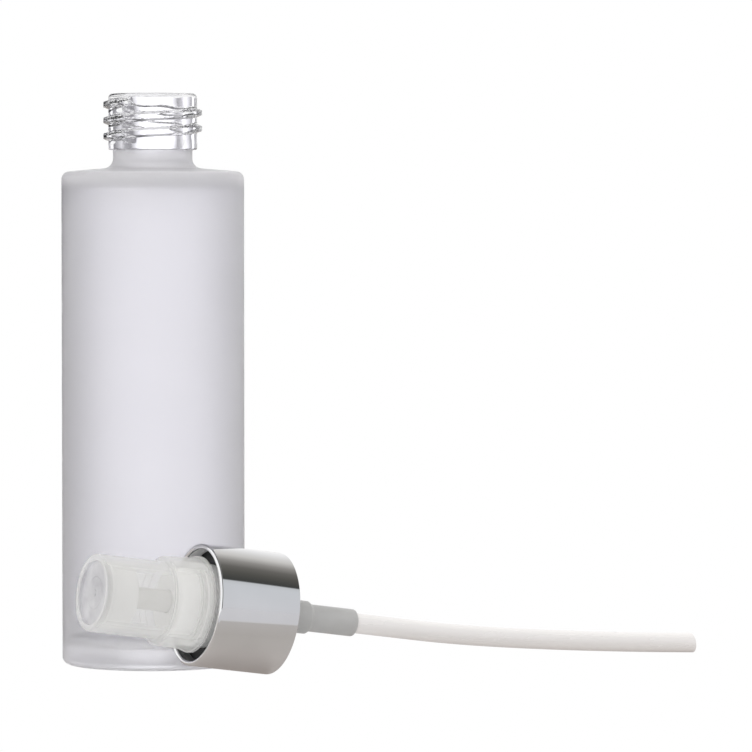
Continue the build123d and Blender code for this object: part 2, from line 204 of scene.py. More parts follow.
# ---------------------------------------------------------------- the pump's frame, from its joint
COLLAR_JOINT_HEIGHT = -8.7  # along the pump's axis from the collar's head-side rim
collar_joint = next(j for j in frame["joints"] if j["name"] == "collar_spin")
head_direction = Vector(collar_joint["axis"]).normalized()
pump_origin = Vector(collar_joint["pos_m"]) - head_direction * COLLAR_JOINT_HEIGHT * MM
pump_x = Vector((0, -1, 0))
pump_y = head_direction.cross(pump_x)
pump = Matrix.Translation(pump_origin) @ Matrix((pump_x, pump_y, head_direction)).transposed().to_4x4()
upright = Matrix.Identity(4)
pump_pitch = math.asin(head_direction.z)


# ---------------------------------------------------------------- mesh work
def smoothstep(x):
    x = min(1.0, max(0.0, x))
    return x * x * (3 - 2 * x)


def rounded(points):
    """An outline of (radius, height) or (radius, height, rounding) corners, with arcs where rounded."""
    path = []
    for i, point in enumerate(points):
        here = Vector(point[:2])
        if len(point) == 2:
            path.append(here)
            continue
        rounding = point[2]
        to_before = (Vector(points[i - 1][:2]) - here).normalized()
        to_after = (Vector(points[(i + 1) % len(points)][:2]) - here).normalized()
        half = to_before.angle(to_after) / 2
        reach = rounding / math.tan(half)
        centre = here + (to_before + to_after).normalized() * (rounding / math.sin(half))
        start = here + to_before * reach - centre
        end = here + to_after * reach - centre
        turn = math.atan2(start.x * end.y - start.y * end.x, start.dot(end))
        steps = 5 + round(2.5 * rounding)
        for k in range(steps + 1):
            step = Matrix.Rotation(turn * k / steps, 2)
            path.append(centre + step @ start)
    return path


def divided(path, low, high, step):
    """The path with more points on its upright runs between two heights."""
    result = [path[0]]
    for a, b in zip(path, path[1:]):
        inside = min(a.y, b.y) < high and max(a.y, b.y) > low
        count = max(1, math.ceil(abs(b.y - a.y) / step)) if inside else 1
        for k in range(1, count + 1):
            result.append(a.lerp(b, k / count))
    return result


def thread_rise(height, angle, start_height, start_angle, turns, rise):
    """How far a right-hand thread stands out at a height and angle."""
    share = ((angle - start_angle) % 360) / 360
    best = 0.0
    while share <= turns:
        distance = abs(height - start_height - share * THREAD_PITCH)
        flank = smoothstep((THREAD_ROOT_HALF - distance) / (THREAD_ROOT_HALF - THREAD_CREST_HALF))
        fade = smoothstep(min(share, turns - share) * 360 / THREAD_FADE)
        best = max(best, rise * flank * fade)
        share += 1
    return best


def add_mesh(name, vertices, faces, where):
    """A smooth-shaded mesh object, given in millimetres in the frame `where`."""
    mesh = bpy.data.meshes.new(name)
    mesh.from_pydata([Vector(v) * MM for v in vertices], [], faces)
    mesh.validate()
    mesh.shade_smooth()
    mesh.set_sharp_from_angle(angle=SHARP)
    piece = bpy.data.objects.new(name, mesh)
    bpy.context.scene.collection.objects.link(piece)
    piece.matrix_world = where
    return piece


def lathe(name, path, where, segments=SEGMENTS, relief=None):
    """Revolves an outline. It closes on itself, or on the axis where both its ends have radius 0."""
    area = sum(a.x * b.y - b.x * a.y for a, b in zip(path, path[1:] + path[:1]))
    if area < 0:
        path = path[::-1]
    vertices = []
    rings = []
    for point in path:
        if point.x < 1e-6:
            rings.append([len(vertices)] * segments)
            vertices.append((0, 0, point.y))
            continue
        rings.append(list(range(len(vertices), len(vertices) + segments)))
        for k in range(segments):
            angle = 360 * k / segments
            radius, height = relief(point.x, point.y, angle) if relief else point
            turn = math.radians(angle)
            vertices.append((radius * math.cos(turn), radius * math.sin(turn), height))
    closes_on_axis = path[0].x < 1e-6 and path[-1].x < 1e-6
    pairs = list(zip(rings, rings[1:])) + ([] if closes_on_axis else [(rings[-1], rings[0])])
    faces = []
    for low, high in pairs:
        for k in range(segments):
            after = (k + 1) % segments
            corners = [low[k], low[after], high[after], high[k]]
            faces.append(tuple(dict.fromkeys(corners)))
    return add_mesh(name, vertices, faces, where)


# ---------------------------------------------------------------- node helpers
def number_or_link(tree, socket, value):
    if isinstance(value, bpy.types.NodeSocket):
        tree.links.new(value, socket)
    else:
        socket.default_value = value


def math_node(tree, operation, *values):
    node = tree.nodes.new("ShaderNodeMath")
    node.operation = operation
    for socket, value in zip(node.inputs, values):
        number_or_link(tree, socket, value)
    return node.outputs[0]


def spread(tree, value, low, high, to_low, to_high, smooth=False):
    node = tree.nodes.new("ShaderNodeMapRange")
    if smooth:
        node.interpolation_type = "SMOOTHSTEP"
    for socket, number in zip(node.inputs, (value, low, high, to_low, to_high)):
        number_or_link(tree, socket, number)
    return node.outputs[0]


def ramp(tree, value, stops):
    """A colour ramp of (position, colour) stops."""
    node = tree.nodes.new("ShaderNodeValToRGB")
    elements = node.color_ramp.elements
    while len(elements) < len(stops):
        elements.new(0.5)
    for element, (position, colour) in zip(elements, stops):
        element.position = position
        element.color = (*colour, 1)
    number_or_link(tree, node.inputs[0], value)
    return node.outputs[0]


def place(tree, stretch=(1, 1, 1)):
    """The piece's own coordinates, scaled by `stretch`."""
    where = tree.nodes.new("ShaderNodeTexCoord")
    mapping = tree.nodes.new("ShaderNodeMapping")
    tree.links.new(where.outputs["Object"], mapping.inputs["Vector"])
    mapping.inputs["Scale"].default_value = stretch
    return mapping.outputs[0]


def noise(tree, coordinates, size, detail=3.0):
    """A noise whose features are about `size` millimetres across."""
    node = tree.nodes.new("ShaderNodeTexNoise")
    tree.links.new(coordinates, node.inputs["Vector"])
    node.inputs["Scale"].default_value = 1 / (size * MM)
    node.inputs["Detail"].default_value = detail
    return node.outputs["Fac"]


def bump(tree, height, depth, strength=1.0, before=None):
    """A bump `depth` millimetres deep."""
    node = tree.nodes.new("ShaderNodeBump")
    node.inputs["Strength"].default_value = strength
    node.inputs["Distance"].default_value = depth * MM
    tree.links.new(height, node.inputs["Height"])
    if before:
        tree.links.new(before, node.inputs["Normal"])
    return node.outputs[0]


def new_material(name, settings):
    material = bpy.data.materials.new(name)
    material.use_nodes = True
    tree = material.node_tree
    shader = tree.nodes["Principled BSDF"]
    for socket, value in settings.items():
        shader.inputs[socket].default_value = value
    return material, tree, shader


def finish_material(name, tones, roughness, grain, settings, stretch=(1, 1, 1)):
    """A moulded or worked surface: cloudy tone, uneven gloss, and fine grain over soft waves.

    tones: two colours that the cloud runs between; roughness: (smoothest, roughest);
    grain: (size, depth, wave size, wave depth) in millimetres.
    """
    material, tree, shader = new_material(name, settings)
    where = place(tree, stretch)
    grain_size, grain_depth, wave_size, wave_depth = grain
    cloud = noise(tree, where, wave_size * 2, 4)
    tree.links.new(ramp(tree, cloud, [(0.3, tones[0]), (0.7, tones[1])]), shader.inputs["Base Color"])
    patches = noise(tree, where, wave_size, 5)
    tree.links.new(spread(tree, patches, 0.3, 0.7, *roughness), shader.inputs["Roughness"])
    waves = bump(tree, noise(tree, where, wave_size, 2), wave_depth)
    grains = bump(tree, noise(tree, where, grain_size, 4), grain_depth, before=waves)
    tree.links.new(grains, shader.inputs["Normal"])
    return material


def milky_material(name, tones, roughness, grain, settings, cover):
    """A thin milky moulding: cover[0] of what is behind it is hidden face on, cover[1] edge on."""
    material = finish_material(name, tones, roughness, grain, settings)
    tree = material.node_tree
    facing = tree.nodes.new("ShaderNodeLayerWeight")
    facing.inputs["Blend"].default_value = 0.5
    amount = spread(tree, facing.outputs["Facing"], 0.25, 1.0, *cover, smooth=True)
    clear_part = tree.nodes.new("ShaderNodeBsdfTransparent")
    mix = tree.nodes.new("ShaderNodeMixShader")
    tree.links.new(amount, mix.inputs[0])
    tree.links.new(clear_part.outputs[0], mix.inputs[1])
    tree.links.new(tree.nodes["Principled BSDF"].outputs[0], mix.inputs[2])
    tree.links.new(mix.outputs[0], tree.nodes["Material Output"].inputs["Surface"])
    return material


# ---------------------------------------------------------------- materials
frosted = finish_material(
    "frosted_glass",
    ((0.955, 0.95, 0.975), (0.975, 0.97, 0.99)),
    (0.37, 0.42),
    (0.18, 0.004, 9.0, 0.01),
    {"Transmission Weight": 1.0, "IOR": 1.5},
)
# the thick foot and shoulder scatter more than the wall between them
tree = frosted.node_tree
coordinates = tree.nodes.new("ShaderNodeTexCoord")
parts = tree.nodes.new("ShaderNodeSeparateXYZ")
tree.links.new(coordinates.outputs["Object"], parts.inputs[0])
foot_share = spread(tree, parts.outputs[2], 0, 8 * MM, 0.72, 0.97, smooth=True)
shoulder_share = spread(tree, parts.outputs[2], 94.5 * MM, 97.5 * MM, 0, 0.43, smooth=True)
through = math_node(tree, "SUBTRACT", foot_share, shoulder_share)
tree.links.new(through, tree.nodes["Principled BSDF"].inputs["Transmission Weight"])
clear = finish_material(
    "clear_glass",
    ((0.965, 0.965, 0.972), (0.985, 0.985, 0.99)),
    (0.0, 0.015),
    (2.2, 0.001, 5.0, 0.008),
    {"Transmission Weight": 1.0, "IOR": 1.5},
)
aluminium = finish_material(
    "polished_aluminium",
    ((0.88, 0.88, 0.885), (0.93, 0.93, 0.935)),
    (0.03, 0.07),
    (0.3, 0.00015, 6.0, 0.0015),
    {"Metallic": 1.0},
)
satin_aluminium = finish_material(
    "satin_aluminium",
    ((0.86, 0.86, 0.865), (0.91, 0.91, 0.915)),
    (0.28, 0.34),
    (0.3, 0.0005, 6.0, 0.002),
    {"Metallic": 1.0},
)
# Painted light: a pale white, not metal, for one half of the collar lip's inner wall, standing in for
# light falling there.
lip_wall_painted_light = finish_material(
    "lip_wall_painted_light",
    ((0.93, 0.93, 0.935), (0.97, 0.97, 0.975)),
    (0.45, 0.55),
    (0.3, 0.0005, 6.0, 0.002),
    {"Metallic": 0.0},
)
clear_plastic = milky_material(
    "clear_plastic",
    ((0.86, 0.86, 0.845), (0.90, 0.90, 0.885)),
    (0.10, 0.16),
    (0.6, 0.002, 4.0, 0.012),
    {"IOR": 1.46},
    cover=(0.27, 0.55),
)
# Painted shade: the overcap's recessed end face is coloured darker lavender grey and made more solid, for
# the shade seen in it.
cap_end_painted_shade = milky_material(
    "cap_end_painted_shade",
    ((0.50, 0.495, 0.525), (0.72, 0.715, 0.74)),
    (0.10, 0.16),
    (0.9, 0.01, 2.0, 0.03),
    {"IOR": 1.46},
    cover=(0.6, 0.75),
)
milky_pp = milky_material(
    "milky_pp",
    ((0.91, 0.905, 0.90), (0.95, 0.945, 0.94)),
    (0.35, 0.45),
    (0.25, 0.002, 3.0, 0.01),
    {"IOR": 1.49},
    cover=(0.6, 0.8),
)
natural_pp = finish_material(
    "natural_pp",
    ((0.93, 0.93, 0.92), (0.97, 0.97, 0.96)),
    (0.45, 0.55),
    (0.25, 0.002, 3.0, 0.01),
    {
        "IOR": 1.49,
        "Subsurface Weight": 0.5,
        "Subsurface Scale": 0.0015,
        "Subsurface Radius": (1, 1, 1),
    },
)
stem_pp = finish_material(
    "stem_pp",
    ((0.64, 0.63, 0.615), (0.69, 0.68, 0.665)),
    (0.35, 0.45),
    (0.25, 0.002, 3.0, 0.01),
    {"IOR": 1.49},
)
# Painted shade: the closure is coloured near black so that the gap inside the collar's lip shows as deep
# shade.
black_pp = finish_material(
    "black_pp",
    ((0.010, 0.010, 0.011), (0.016, 0.016, 0.017)),
    (0.4, 0.5),
    (0.25, 0.002, 3.0, 0.01),
    {"IOR": 1.49, "Specular IOR Level": 0.3},
)
# Painted shade: the housing is coloured mid grey, darker than its milky plastic, for the shade it shows.
housing_pp = finish_material(
    "housing_pp",
    ((0.44, 0.44, 0.436), (0.50, 0.50, 0.496)),
    (0.34, 0.44),
    (0.25, 0.002, 3.0, 0.01),
    {
        "IOR": 1.49,
        "Subsurface Weight": 0.3,
        "Subsurface Scale": 0.001,
        "Subsurface Radius": (1, 1, 1),
    },
)
tube_ldpe = finish_material(
    "tube_ldpe",
    ((0.95, 0.93, 0.92), (0.985, 0.965, 0.955)),
    (0.22, 0.32),
    (0.3, 0.002, 3.0, 0.01),
    {"IOR": 1.5, "Transmission Weight": 0.15},
    stretch=(0.12, 1, 1),
)
white_pe = finish_material(
    "white_pe",
    ((0.84, 0.84, 0.83), (0.90, 0.90, 0.89)),
    (0.38, 0.5),
    (0.2, 0.003, 2.0, 0.01),
    {"IOR": 1.5},
)
seal_rubber = finish_material(
    "seal_rubber",
    ((0.05, 0.05, 0.05), (0.09, 0.09, 0.09)),
    (0.5, 0.65),
    (0.15, 0.004, 2.0, 0.01),
    {"IOR": 1.5},
)
steel = finish_material(
    "steel",
    ((0.62, 0.62, 0.63), (0.72, 0.72, 0.73)),
    (0.18, 0.3),
    (0.08, 0.0008, 1.0, 0.002),
    {"Metallic": 1.0},
)


def finish_piece(piece, body, slot, materials, *nodes):
    for material in materials:
        piece.data.materials.append(material)
    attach(piece, body)
    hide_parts(*nodes)


# ---------------------------------------------------------------- the bottle
def bottle_relief(radius, height, angle):
    """The neck's thread, the knurled ring under the foot, and the slightly uneven inside of the glass."""
    turn = math.radians(angle)
    if radius > FINISH_RADIUS - 0.01 and height > FINISH_HEIGHT + 0.1:
        radius += thread_rise(
            height, angle, NECK_THREAD_HEIGHT, NECK_THREAD_START, NECK_THREAD_TURNS, NECK_THREAD_RISE
        )
    elif height < 0.02 and radius > FOOT_INNER_RADIUS:
        height += KNURL_DEPTH * (0.5 - 0.5 * math.cos(KNURLS * turn))
    elif MOUTH_RADIUS - 0.01 < radius < MOUTH_RADIUS + 0.01:
        radius += 0.03 * math.sin(3 * turn + height * 0.7)
        radius += 0.02 * math.sin(5 * turn - height * 1.3)
    elif INNER_RADIUS - 0.01 < radius < INNER_RADIUS + 0.01:
        radius += 0.10 * math.sin(2 * turn + 0.6 + height * 0.02)
        radius += 0.05 * math.sin(3 * turn - height * 0.06)
    return radius, height


outside = rounded(
    [
        (0, PUSH_UP),
        (FOOT_INNER_RADIUS - PUSH_UP_SLOPE, PUSH_UP, 2.0),
        (FOOT_INNER_RADIUS, 0),
        *((FOOT_INNER_RADIUS + ring, 0) for ring in KNURL_RINGS),
        (BODY_RADIUS, 0, FOOT_ROUNDING),
        (BODY_RADIUS, SHOULDER, SHOULDER_ROUNDING),
        (NECK_RADIUS, NECK_ROOT, NECK_ROOT_ROUNDING),
        (NECK_RADIUS, FINISH_HEIGHT, 0.2),
        (FINISH_RADIUS, FINISH_HEIGHT, 0.35),
        (FINISH_RADIUS, BOTTLE_HEIGHT, RIM_ROUNDING),
        (MOUTH_RADIUS, BOTTLE_HEIGHT, MOUTH_ROUNDING),
        (MOUTH_RADIUS, INNER_TOP + INNER_TOP_SLOPE, INNER_NECK_ROUNDING),
        (INNER_RADIUS, INNER_TOP, INNER_TOP_ROUNDING),
        (INNER_RADIUS, INNER_BOTTOM, INNER_FOOT_ROUNDING),
        (0, INNER_BOTTOM + INNER_FOOT_DIP),
    ]
)
top = max(range(len(outside)), key=lambda i: outside[i].y)
outer_path = divided(outside[: top + 1], FINISH_HEIGHT + 0.5, BOTTLE_HEIGHT, 0.1)
inner_path = divided(outside[top:], FINISH_HEIGHT, BOTTLE_HEIGHT, 0.6)
inner_path = divided(inner_path, INNER_BOTTOM, INNER_TOP, 4.0)
glass_bottle = lathe("bottle_glass", outer_path + inner_path[1:], upright, BOTTLE_SEGMENTS, bottle_relief)
for polygon in glass_bottle.data.polygons:
    run = polygon.index // BOTTLE_SEGMENTS
    if run < len(outer_path) - 1:
        is_frosted = outer_path[run + 1].y < FINISH_HEIGHT + 0.05
    else:
        is_frosted = polygon.center.z / MM < CLOUDY_BELOW
    polygon.material_index = 0 if is_frosted else 1
finish_piece(glass_bottle, "bottle", "frosted_glass", [frosted, clear], "glass_bottle")

# ---------------------------------------------------------------- collar shell and closure
shell = lathe(
    "collar_aluminium_shell",
    rounded(
        [
            (COLLAR_RADIUS, -COLLAR_LENGTH, SHELL_EDGE_ROUNDING),
            (COLLAR_RADIUS, 0, 0.52),
            (LIP_INNER_RADIUS, 0, 0.5),
            (LIP_INNER_RADIUS, -LIP_DEPTH, 0.15),
            (COLLAR_RADIUS - SHELL_WALL, -LIP_DEPTH),
            (COLLAR_RADIUS - SHELL_WALL, -COLLAR_LENGTH, SHELL_EDGE_ROUNDING),
        ]
    ),
    pump,
)
# The lip's inner wall below its rim is split along the axis: the half on the pump's +y side gets the pale
# painted light, the other half satin aluminium. The real wall is one finish.
for polygon in shell.data.polygons:
    centre = polygon.center / MM
    inside = math.hypot(centre.x, centre.y) < LIP_INNER_RADIUS + 0.02
    polygon.material_index = 0
    if inside and centre.z < -0.5:
        polygon.material_index = 2 if centre.y > 0 else 1
shell_materials = [aluminium, satin_aluminium, lip_wall_painted_light]
finish_piece(shell, "collar", "silver_aluminium", shell_materials, "collar_shell")


def closure_relief(radius, height, angle):
    if abs(radius - CLOSURE_BORE_RADIUS) < 0.01:
        radius -= thread_rise(
            height, angle, CLOSURE_THREAD_HEIGHT, 0, CLOSURE_THREAD_TURNS, CLOSURE_THREAD_RISE
        )
    return radius, height


closure_path = rounded(
    [
        (CLOSURE_HOLE_RADIUS, CLOSURE_TOP),
        (CLOSURE_RADIUS, CLOSURE_TOP, 0.3),
        (CLOSURE_RADIUS, CLOSURE_END, 0.3),
        (CLOSURE_BORE_RADIUS, CLOSURE_END, 0.4),
        (CLOSURE_BORE_RADIUS, CLOSURE_WEB_END, 0.3),
        (CLOSURE_HOLE_RADIUS, CLOSURE_WEB_END),
    ]
)
closure_path = divided(closure_path, CLOSURE_END - 0.2, CLOSURE_WEB_END, 0.15)
# The closure carries the near-black painted shade.
closure = lathe("collar_threaded_closure", closure_path, pump, relief=closure_relief)
finish_piece(closure, "collar", "black_pp", [black_pp], "threaded_closure")

# ---------------------------------------------------------------- overcap
cap_face = CAP_END - CAP_RECESS
overcap = lathe(
    "overcap_hood",
    rounded(
        [
            (0, cap_face + CAP_GATE_HEIGHT),
            (CAP_GATE_RADIUS, cap_face + CAP_GATE_HEIGHT, 0.08),
            (CAP_GATE_RADIUS + 0.1, cap_face, 0.05),
            (CAP_DISC_RADIUS, cap_face, 0.05),
            (CAP_DISC_RADIUS + 0.15, cap_face - CAP_DISC_HEIGHT, 0.05),
            (CAP_RECESS_RADIUS, cap_face - CAP_DISC_HEIGHT, 0.3),
            (CAP_RECESS_RADIUS, CAP_END, 0.25),
            (CAP_TOP_RADIUS, CAP_END, 0.5),
            (CAP_TOP_RADIUS, CAP_STEP, 0.4),
            (CAP_STEP_RADIUS, CAP_STEP, 0.6),
            (CAP_SKIRT_RADIUS, CAP_BEAD_TOP, 0.3),
            (CAP_BEAD_RADIUS, CAP_BEAD_TOP, 0.2),
            (CAP_BEAD_RADIUS, CAP_OPEN_END, 0.3),
            (CAP_BORE_RADIUS, CAP_OPEN_END, 0.3),
            (CAP_BORE_RADIUS, CAP_GRIP_BOTTOM, 0.2),
            (CAP_GRIP_RADIUS, CAP_GRIP_BOTTOM, 0.2),
            (CAP_GRIP_RADIUS, CAP_GRIP_TOP, 0.2),
            (CAP_BORE_RADIUS, CAP_GRIP_TOP, 0.2),
            (CAP_STEP_RADIUS - CAP_WALL, CAP_STEP - CAP_WALL, 0.3),
            (CAP_TOP_RADIUS - CAP_WALL, CAP_STEP - CAP_WALL, 0.3),
            (CAP_TOP_RADIUS - CAP_WALL, cap_face - CAP_WALL, 0.4),
            (0, cap_face - CAP_WALL),
        ]
    ),
    pump,
)
# The recessed end face takes the darker painted-shade finish; the rest of the cap is the clear plastic.
for polygon in overcap.data.polygons:
    centre = polygon.center / MM
    recessed = math.hypot(centre.x, centre.y) < CAP_RECESS_RADIUS and centre.z > cap_face - 0.5
    polygon.material_index = 1 if recessed else 0
finish_piece(overcap, "cap", "clear_plastic", [clear_plastic, cap_end_painted_shade], "overcap")

# ---------------------------------------------------------------- stem, turret, housing
stem = lathe(
    "stem_tube",
    rounded(
        [
            (STEM_CHAMBER_RADIUS, STEM_TOP),
            (STEM_RADIUS, STEM_TOP, 0.15),
            (STEM_RADIUS, STEM_FLANGE_TOP, 0.1),
            (STEM_FLANGE_RADIUS, STEM_FLANGE_TOP, 0.1),
            (STEM_FLANGE_RADIUS, STEM_FLANGE_BOTTOM, 0.2),
            (STEM_TAIL_RADIUS, STEM_FLANGE_BOTTOM, 0.3),
            (STEM_TAIL_RADIUS, STEM_BOTTOM),
            (STEM_BORE_RADIUS, STEM_BOTTOM),
            (STEM_BORE_RADIUS, STEM_BORE_TOP),
            (STEM_PASSAGE_RADIUS, STEM_BORE_TOP),
            (STEM_PASSAGE_RADIUS, OUTLET_SEAT),
            (STEM_CHAMBER_RADIUS, OUTLET_SEAT_TOP),
        ]
    ),
    pump,
)
finish_piece(stem, "stroke", "natural_pp", [stem_pp], "stem")

turret = lathe(
    "turret_cover",
    rounded(
        [
            (GUIDE_BORE_RADIUS, TURRET_TOP, 0.2),
            (TURRET_RADIUS, TURRET_TOP, 0.8),
            (TURRET_RADIUS, TURRET_FLANGE_TOP, 0.4),
            (TURRET_FLANGE_RADIUS, TURRET_FLANGE_TOP, 0.3),
            (TURRET_FLANGE_RADIUS, TURRET_FLANGE_BOTTOM, 0.15),
            (TURRET_NECK_RADIUS, TURRET_FLANGE_BOTTOM),
            (TURRET_NECK_RADIUS, HOUSING_FLANGE_TOP),
            (CHIMNEY_RADIUS, HOUSING_FLANGE_TOP),
            (CHIMNEY_RADIUS, TURRET_ROOF_BOTTOM, 0.3),
            (GUIDE_BORE_RADIUS, TURRET_ROOF_BOTTOM),
        ]
    ),
    pump,
)
finish_piece(turret, "pump_core", "natural_pp", [natural_pp], "turret")

housing = lathe(
    "pump_housing_body",
    rounded(
        [
            (CHIMNEY_BORE_RADIUS, CHIMNEY_TOP),
            (CHIMNEY_RADIUS, CHIMNEY_TOP),
            (CHIMNEY_RADIUS, HOUSING_FLANGE_TOP),
            (HOUSING_FLANGE_RADIUS, HOUSING_FLANGE_TOP, 0.15),
            (HOUSING_FLANGE_RADIUS, HOUSING_FLANGE_BOTTOM, 0.2),
            (BARREL_RADIUS, HOUSING_FLANGE_BOTTOM),
            (BARREL_RADIUS, BARREL_END, 0.5),
            (TAIL_RADIUS, TAIL_START, 0.5),
            (TAIL_RADIUS, TAIL_END, 0.25),
            (SPOUT_RADIUS, SPOUT_START, 0.2),
            (SPOUT_RADIUS, SPOUT_END, 0.5),
            (TUBE_RADIUS, SPOUT_END),
            (TUBE_RADIUS, SOCKET_TOP),
            (INLET_RADIUS, SOCKET_TOP),
            (INLET_RADIUS, INLET_SEAT),
            (BALL_CHAMBER_RADIUS, BALL_CHAMBER_BOTTOM),
            (BALL_CHAMBER_RADIUS, CAGE_BOTTOM),
            (PUMP_BORE_RADIUS, CAGE_BOTTOM),
            (PUMP_BORE_RADIUS, PUMP_BORE_START),
            (UPPER_BORE_RADIUS, UPPER_BORE_END),
            (UPPER_BORE_RADIUS, HOUSING_FLANGE_TOP),
            (CHIMNEY_BORE_RADIUS, HOUSING_FLANGE_TOP),
        ]
    ),
    pump,
)
finish_piece(housing, "pump_core", "housing_pp", [housing_pp], "pump_housing")

# ---------------------------------------------------------------- dip tube
tube_start = pump @ Vector((0, 0, SOCKET_TOP * MM))
bend_start = pump @ Vector((0, 0, (SPOUT_END - TUBE_STRAIGHT) * MM))
middle_pitch = math.radians(TUBE_MIDDLE_PITCH)
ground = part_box("dip_tube")[0].z + TUBE_RADIUS * MM
middle_height = bend_start.z - TUBE_FIRST_BEND * MM * math.sin((pump_pitch + middle_pitch) / 2)
end_pitch = 2 * math.asin((middle_height - ground) / (TUBE_SECOND_BEND * MM)) - middle_pitch


def fall(pitch):
    """The direction towards the tube's far end at a pitch below level."""
    return Vector((math.cos(pitch), 0, -math.sin(pitch)))


first_corner = bend_start + fall(pump_pitch) * (TUBE_FIRST_BEND / 2 * MM)
second_corner = first_corner + fall(middle_pitch) * ((TUBE_FIRST_BEND + TUBE_SECOND_BEND) / 2 * MM)
tube_end = second_corner + fall(end_pitch) * (TUBE_SECOND_BEND / 2 * MM)
straight_part = tube_start.lerp(bend_start, 0.6)
route = bpy.data.curves.new("tube_route", "CURVE")
route.dimensions = "3D"
line = route.splines.new("NURBS")
route_corners = (tube_start, straight_part, first_corner, second_corner, tube_end)
line.points.add(len(route_corners) - 1)
for point, place_at in zip(line.points, route_corners):
    point.co = (*place_at, 1)
line.order_u = 3
line.use_endpoint_u = True
line.resolution_u = 32
route_object = bpy.data.objects.new("tube_route", route)
route_mesh = bpy.data.meshes.new_from_object(route_object)
route_points = [v.co.copy() for v in route_mesh.vertices]
bpy.data.objects.remove(route_object)
bpy.data.meshes.remove(route_mesh)


def tube_mesh(points, name, segments=64):
    """A hollow tube along the points, in the plane of the pump's axis. Its far end is cut TUBE_CUT off
    square."""
    vertices = []
    ring_count = len(points)
    for i, point in enumerate(points):
        tangent = (points[min(i + 1, ring_count - 1)] - points[max(i - 1, 0)]).normalized()
        up = Vector((0, -1, 0)).cross(tangent)
        if up.z < 0:
            up.negate()
        for radius in (TUBE_RADIUS, TUBE_BORE_RADIUS):
            for k in range(segments):
                turn = 2 * math.pi * k / segments
                offset = up * (radius * math.cos(turn)) + Vector((0, radius * math.sin(turn), 0))
                place_at = point / MM + offset
                if i == ring_count - 1:
                    lift = radius * math.cos(turn) + TUBE_RADIUS
                    place_at -= tangent * (lift * math.tan(math.radians(TUBE_CUT)))
                vertices.append(place_at)
    faces = []
    width = 2 * segments
    for i in range(ring_count - 1):
        for k in range(segments):
            after = (k + 1) % segments
            outer = i * width
            inner = outer + segments
            faces.append((outer + k, outer + after, outer + width + after, outer + width + k))
            faces.append((inner + after, inner + k, inner + width + k, inner + width + after))
    for i, flip in ((0, False), (ring_count - 1, True)):
        for k in range(segments):
            after = (k + 1) % segments
            outer = i * width
            inner = outer + segments
            corners = (outer + after, outer + k, inner + k, inner + after)
            faces.append(corners[::-1] if flip else corners)
    return add_mesh(name, vertices, faces, upright)


dip_tube = tube_mesh(route_points, "dip_tube_ldpe")
finish_piece(dip_tube, "pump_core", "tube_ldpe", [tube_ldpe], "dip_tube")


# ---------------------------------------------------------------- springs
def coil_spring(name, radius, wire_radius, turns, bottom, top, sides=14, steps_per_turn=40):
    """An open coil of round wire about the pump's axis, between two heights."""
    rise = top - bottom - 2 * wire_radius
    pitch = math.atan2(rise, 2 * math.pi * radius * turns)
    steps = turns * steps_per_turn
    vertices = []
    for i in range(steps + 1):
        turn = 2 * math.pi * i / steps_per_turn
        outward = Vector((math.cos(turn), math.sin(turn), 0))
        onward = Vector((-math.sin(turn), math.cos(turn), 0))
        across_wire = Vector((0, 0, math.cos(pitch))) - onward * math.sin(pitch)
        middle = outward * radius + Vector((0, 0, bottom + wire_radius + rise * i / steps))
        for k in range(sides):
            round_wire = 2 * math.pi * k / sides
            offset = outward * math.cos(round_wire) + across_wire * math.sin(round_wire)
            vertices.append(middle + offset * wire_radius)
    faces = [tuple(range(sides)), tuple(reversed(range(steps * sides, (steps + 1) * sides)))]
    for i in range(steps):
        for k in range(sides):
            after = (k + 1) % sides
            low = i * sides
            high = low + sides
            faces.append((low + k, high + k, high + after, low + after))
    return add_mesh(name, vertices, faces, pump)


def shorten(piece):
    """Gives the spring a mesh of its own."""
    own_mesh(piece)


return_spring = coil_spring(
    "return_spring_coil",
    RETURN_SPRING_RADIUS,
    RETURN_WIRE_RADIUS,
    RETURN_SPRING_TURNS,
    RETURN_SPRING_BOTTOM,
    RETURN_SPRING_TOP,
)
finish_piece(return_spring, "pump_core", "steel", [steel], "return_spring")
shorten(return_spring)
outlet_spring = coil_spring(
    "outlet_spring_coil",
    OUTLET_SPRING_RADIUS,
    OUTLET_WIRE_RADIUS,
    OUTLET_SPRING_TURNS,
    OUTLET_SPRING_BOTTOM,
    OUTLET_SPRING_TOP,
)
finish_piece(outlet_spring, "stroke", "steel", [steel], "outlet_spring")
shorten(outlet_spring)

# ---------------------------------------------------------------- pieces that stay as the CAD made them
for node, material in {
    "actuator": milky_pp,
    "nozzle_insert": natural_pp,
    "valve_plug": natural_pp,
    "stem_guide": natural_pp,
    "ball_cage": natural_pp,
    "piston": white_pe,
    "neck_gasket": white_pe,
    "vent_seal": seal_rubber,
    "outlet_ball": steel,
    "inlet_ball": steel,
}.items():
    carried = frame["nodes"][node]
    if not carried.material_slots:
        carried.data.materials.append(material)
    for material_slot in carried.material_slots:
        material_slot.material = material

# ---------------------------------------------------------------- floor
FLOOR_HALF = 3.0  # metres
FLOOR_DROP = 0.02  # the floor lies this far, in millimetres, under the bottle's foot
floor_mesh = bpy.data.meshes.new("floor")
floor_mesh.from_pydata(
    [
        (x * FLOOR_HALF, y * FLOOR_HALF, -FLOOR_DROP * MM)
        for x, y in ((-1, -1), (1, -1), (1, 1), (-1, 1))
    ],
    [],
    [(0, 1, 2, 3)],
)
floor = bpy.data.objects.new("floor", floor_mesh)
bpy.context.scene.collection.objects.link(floor)
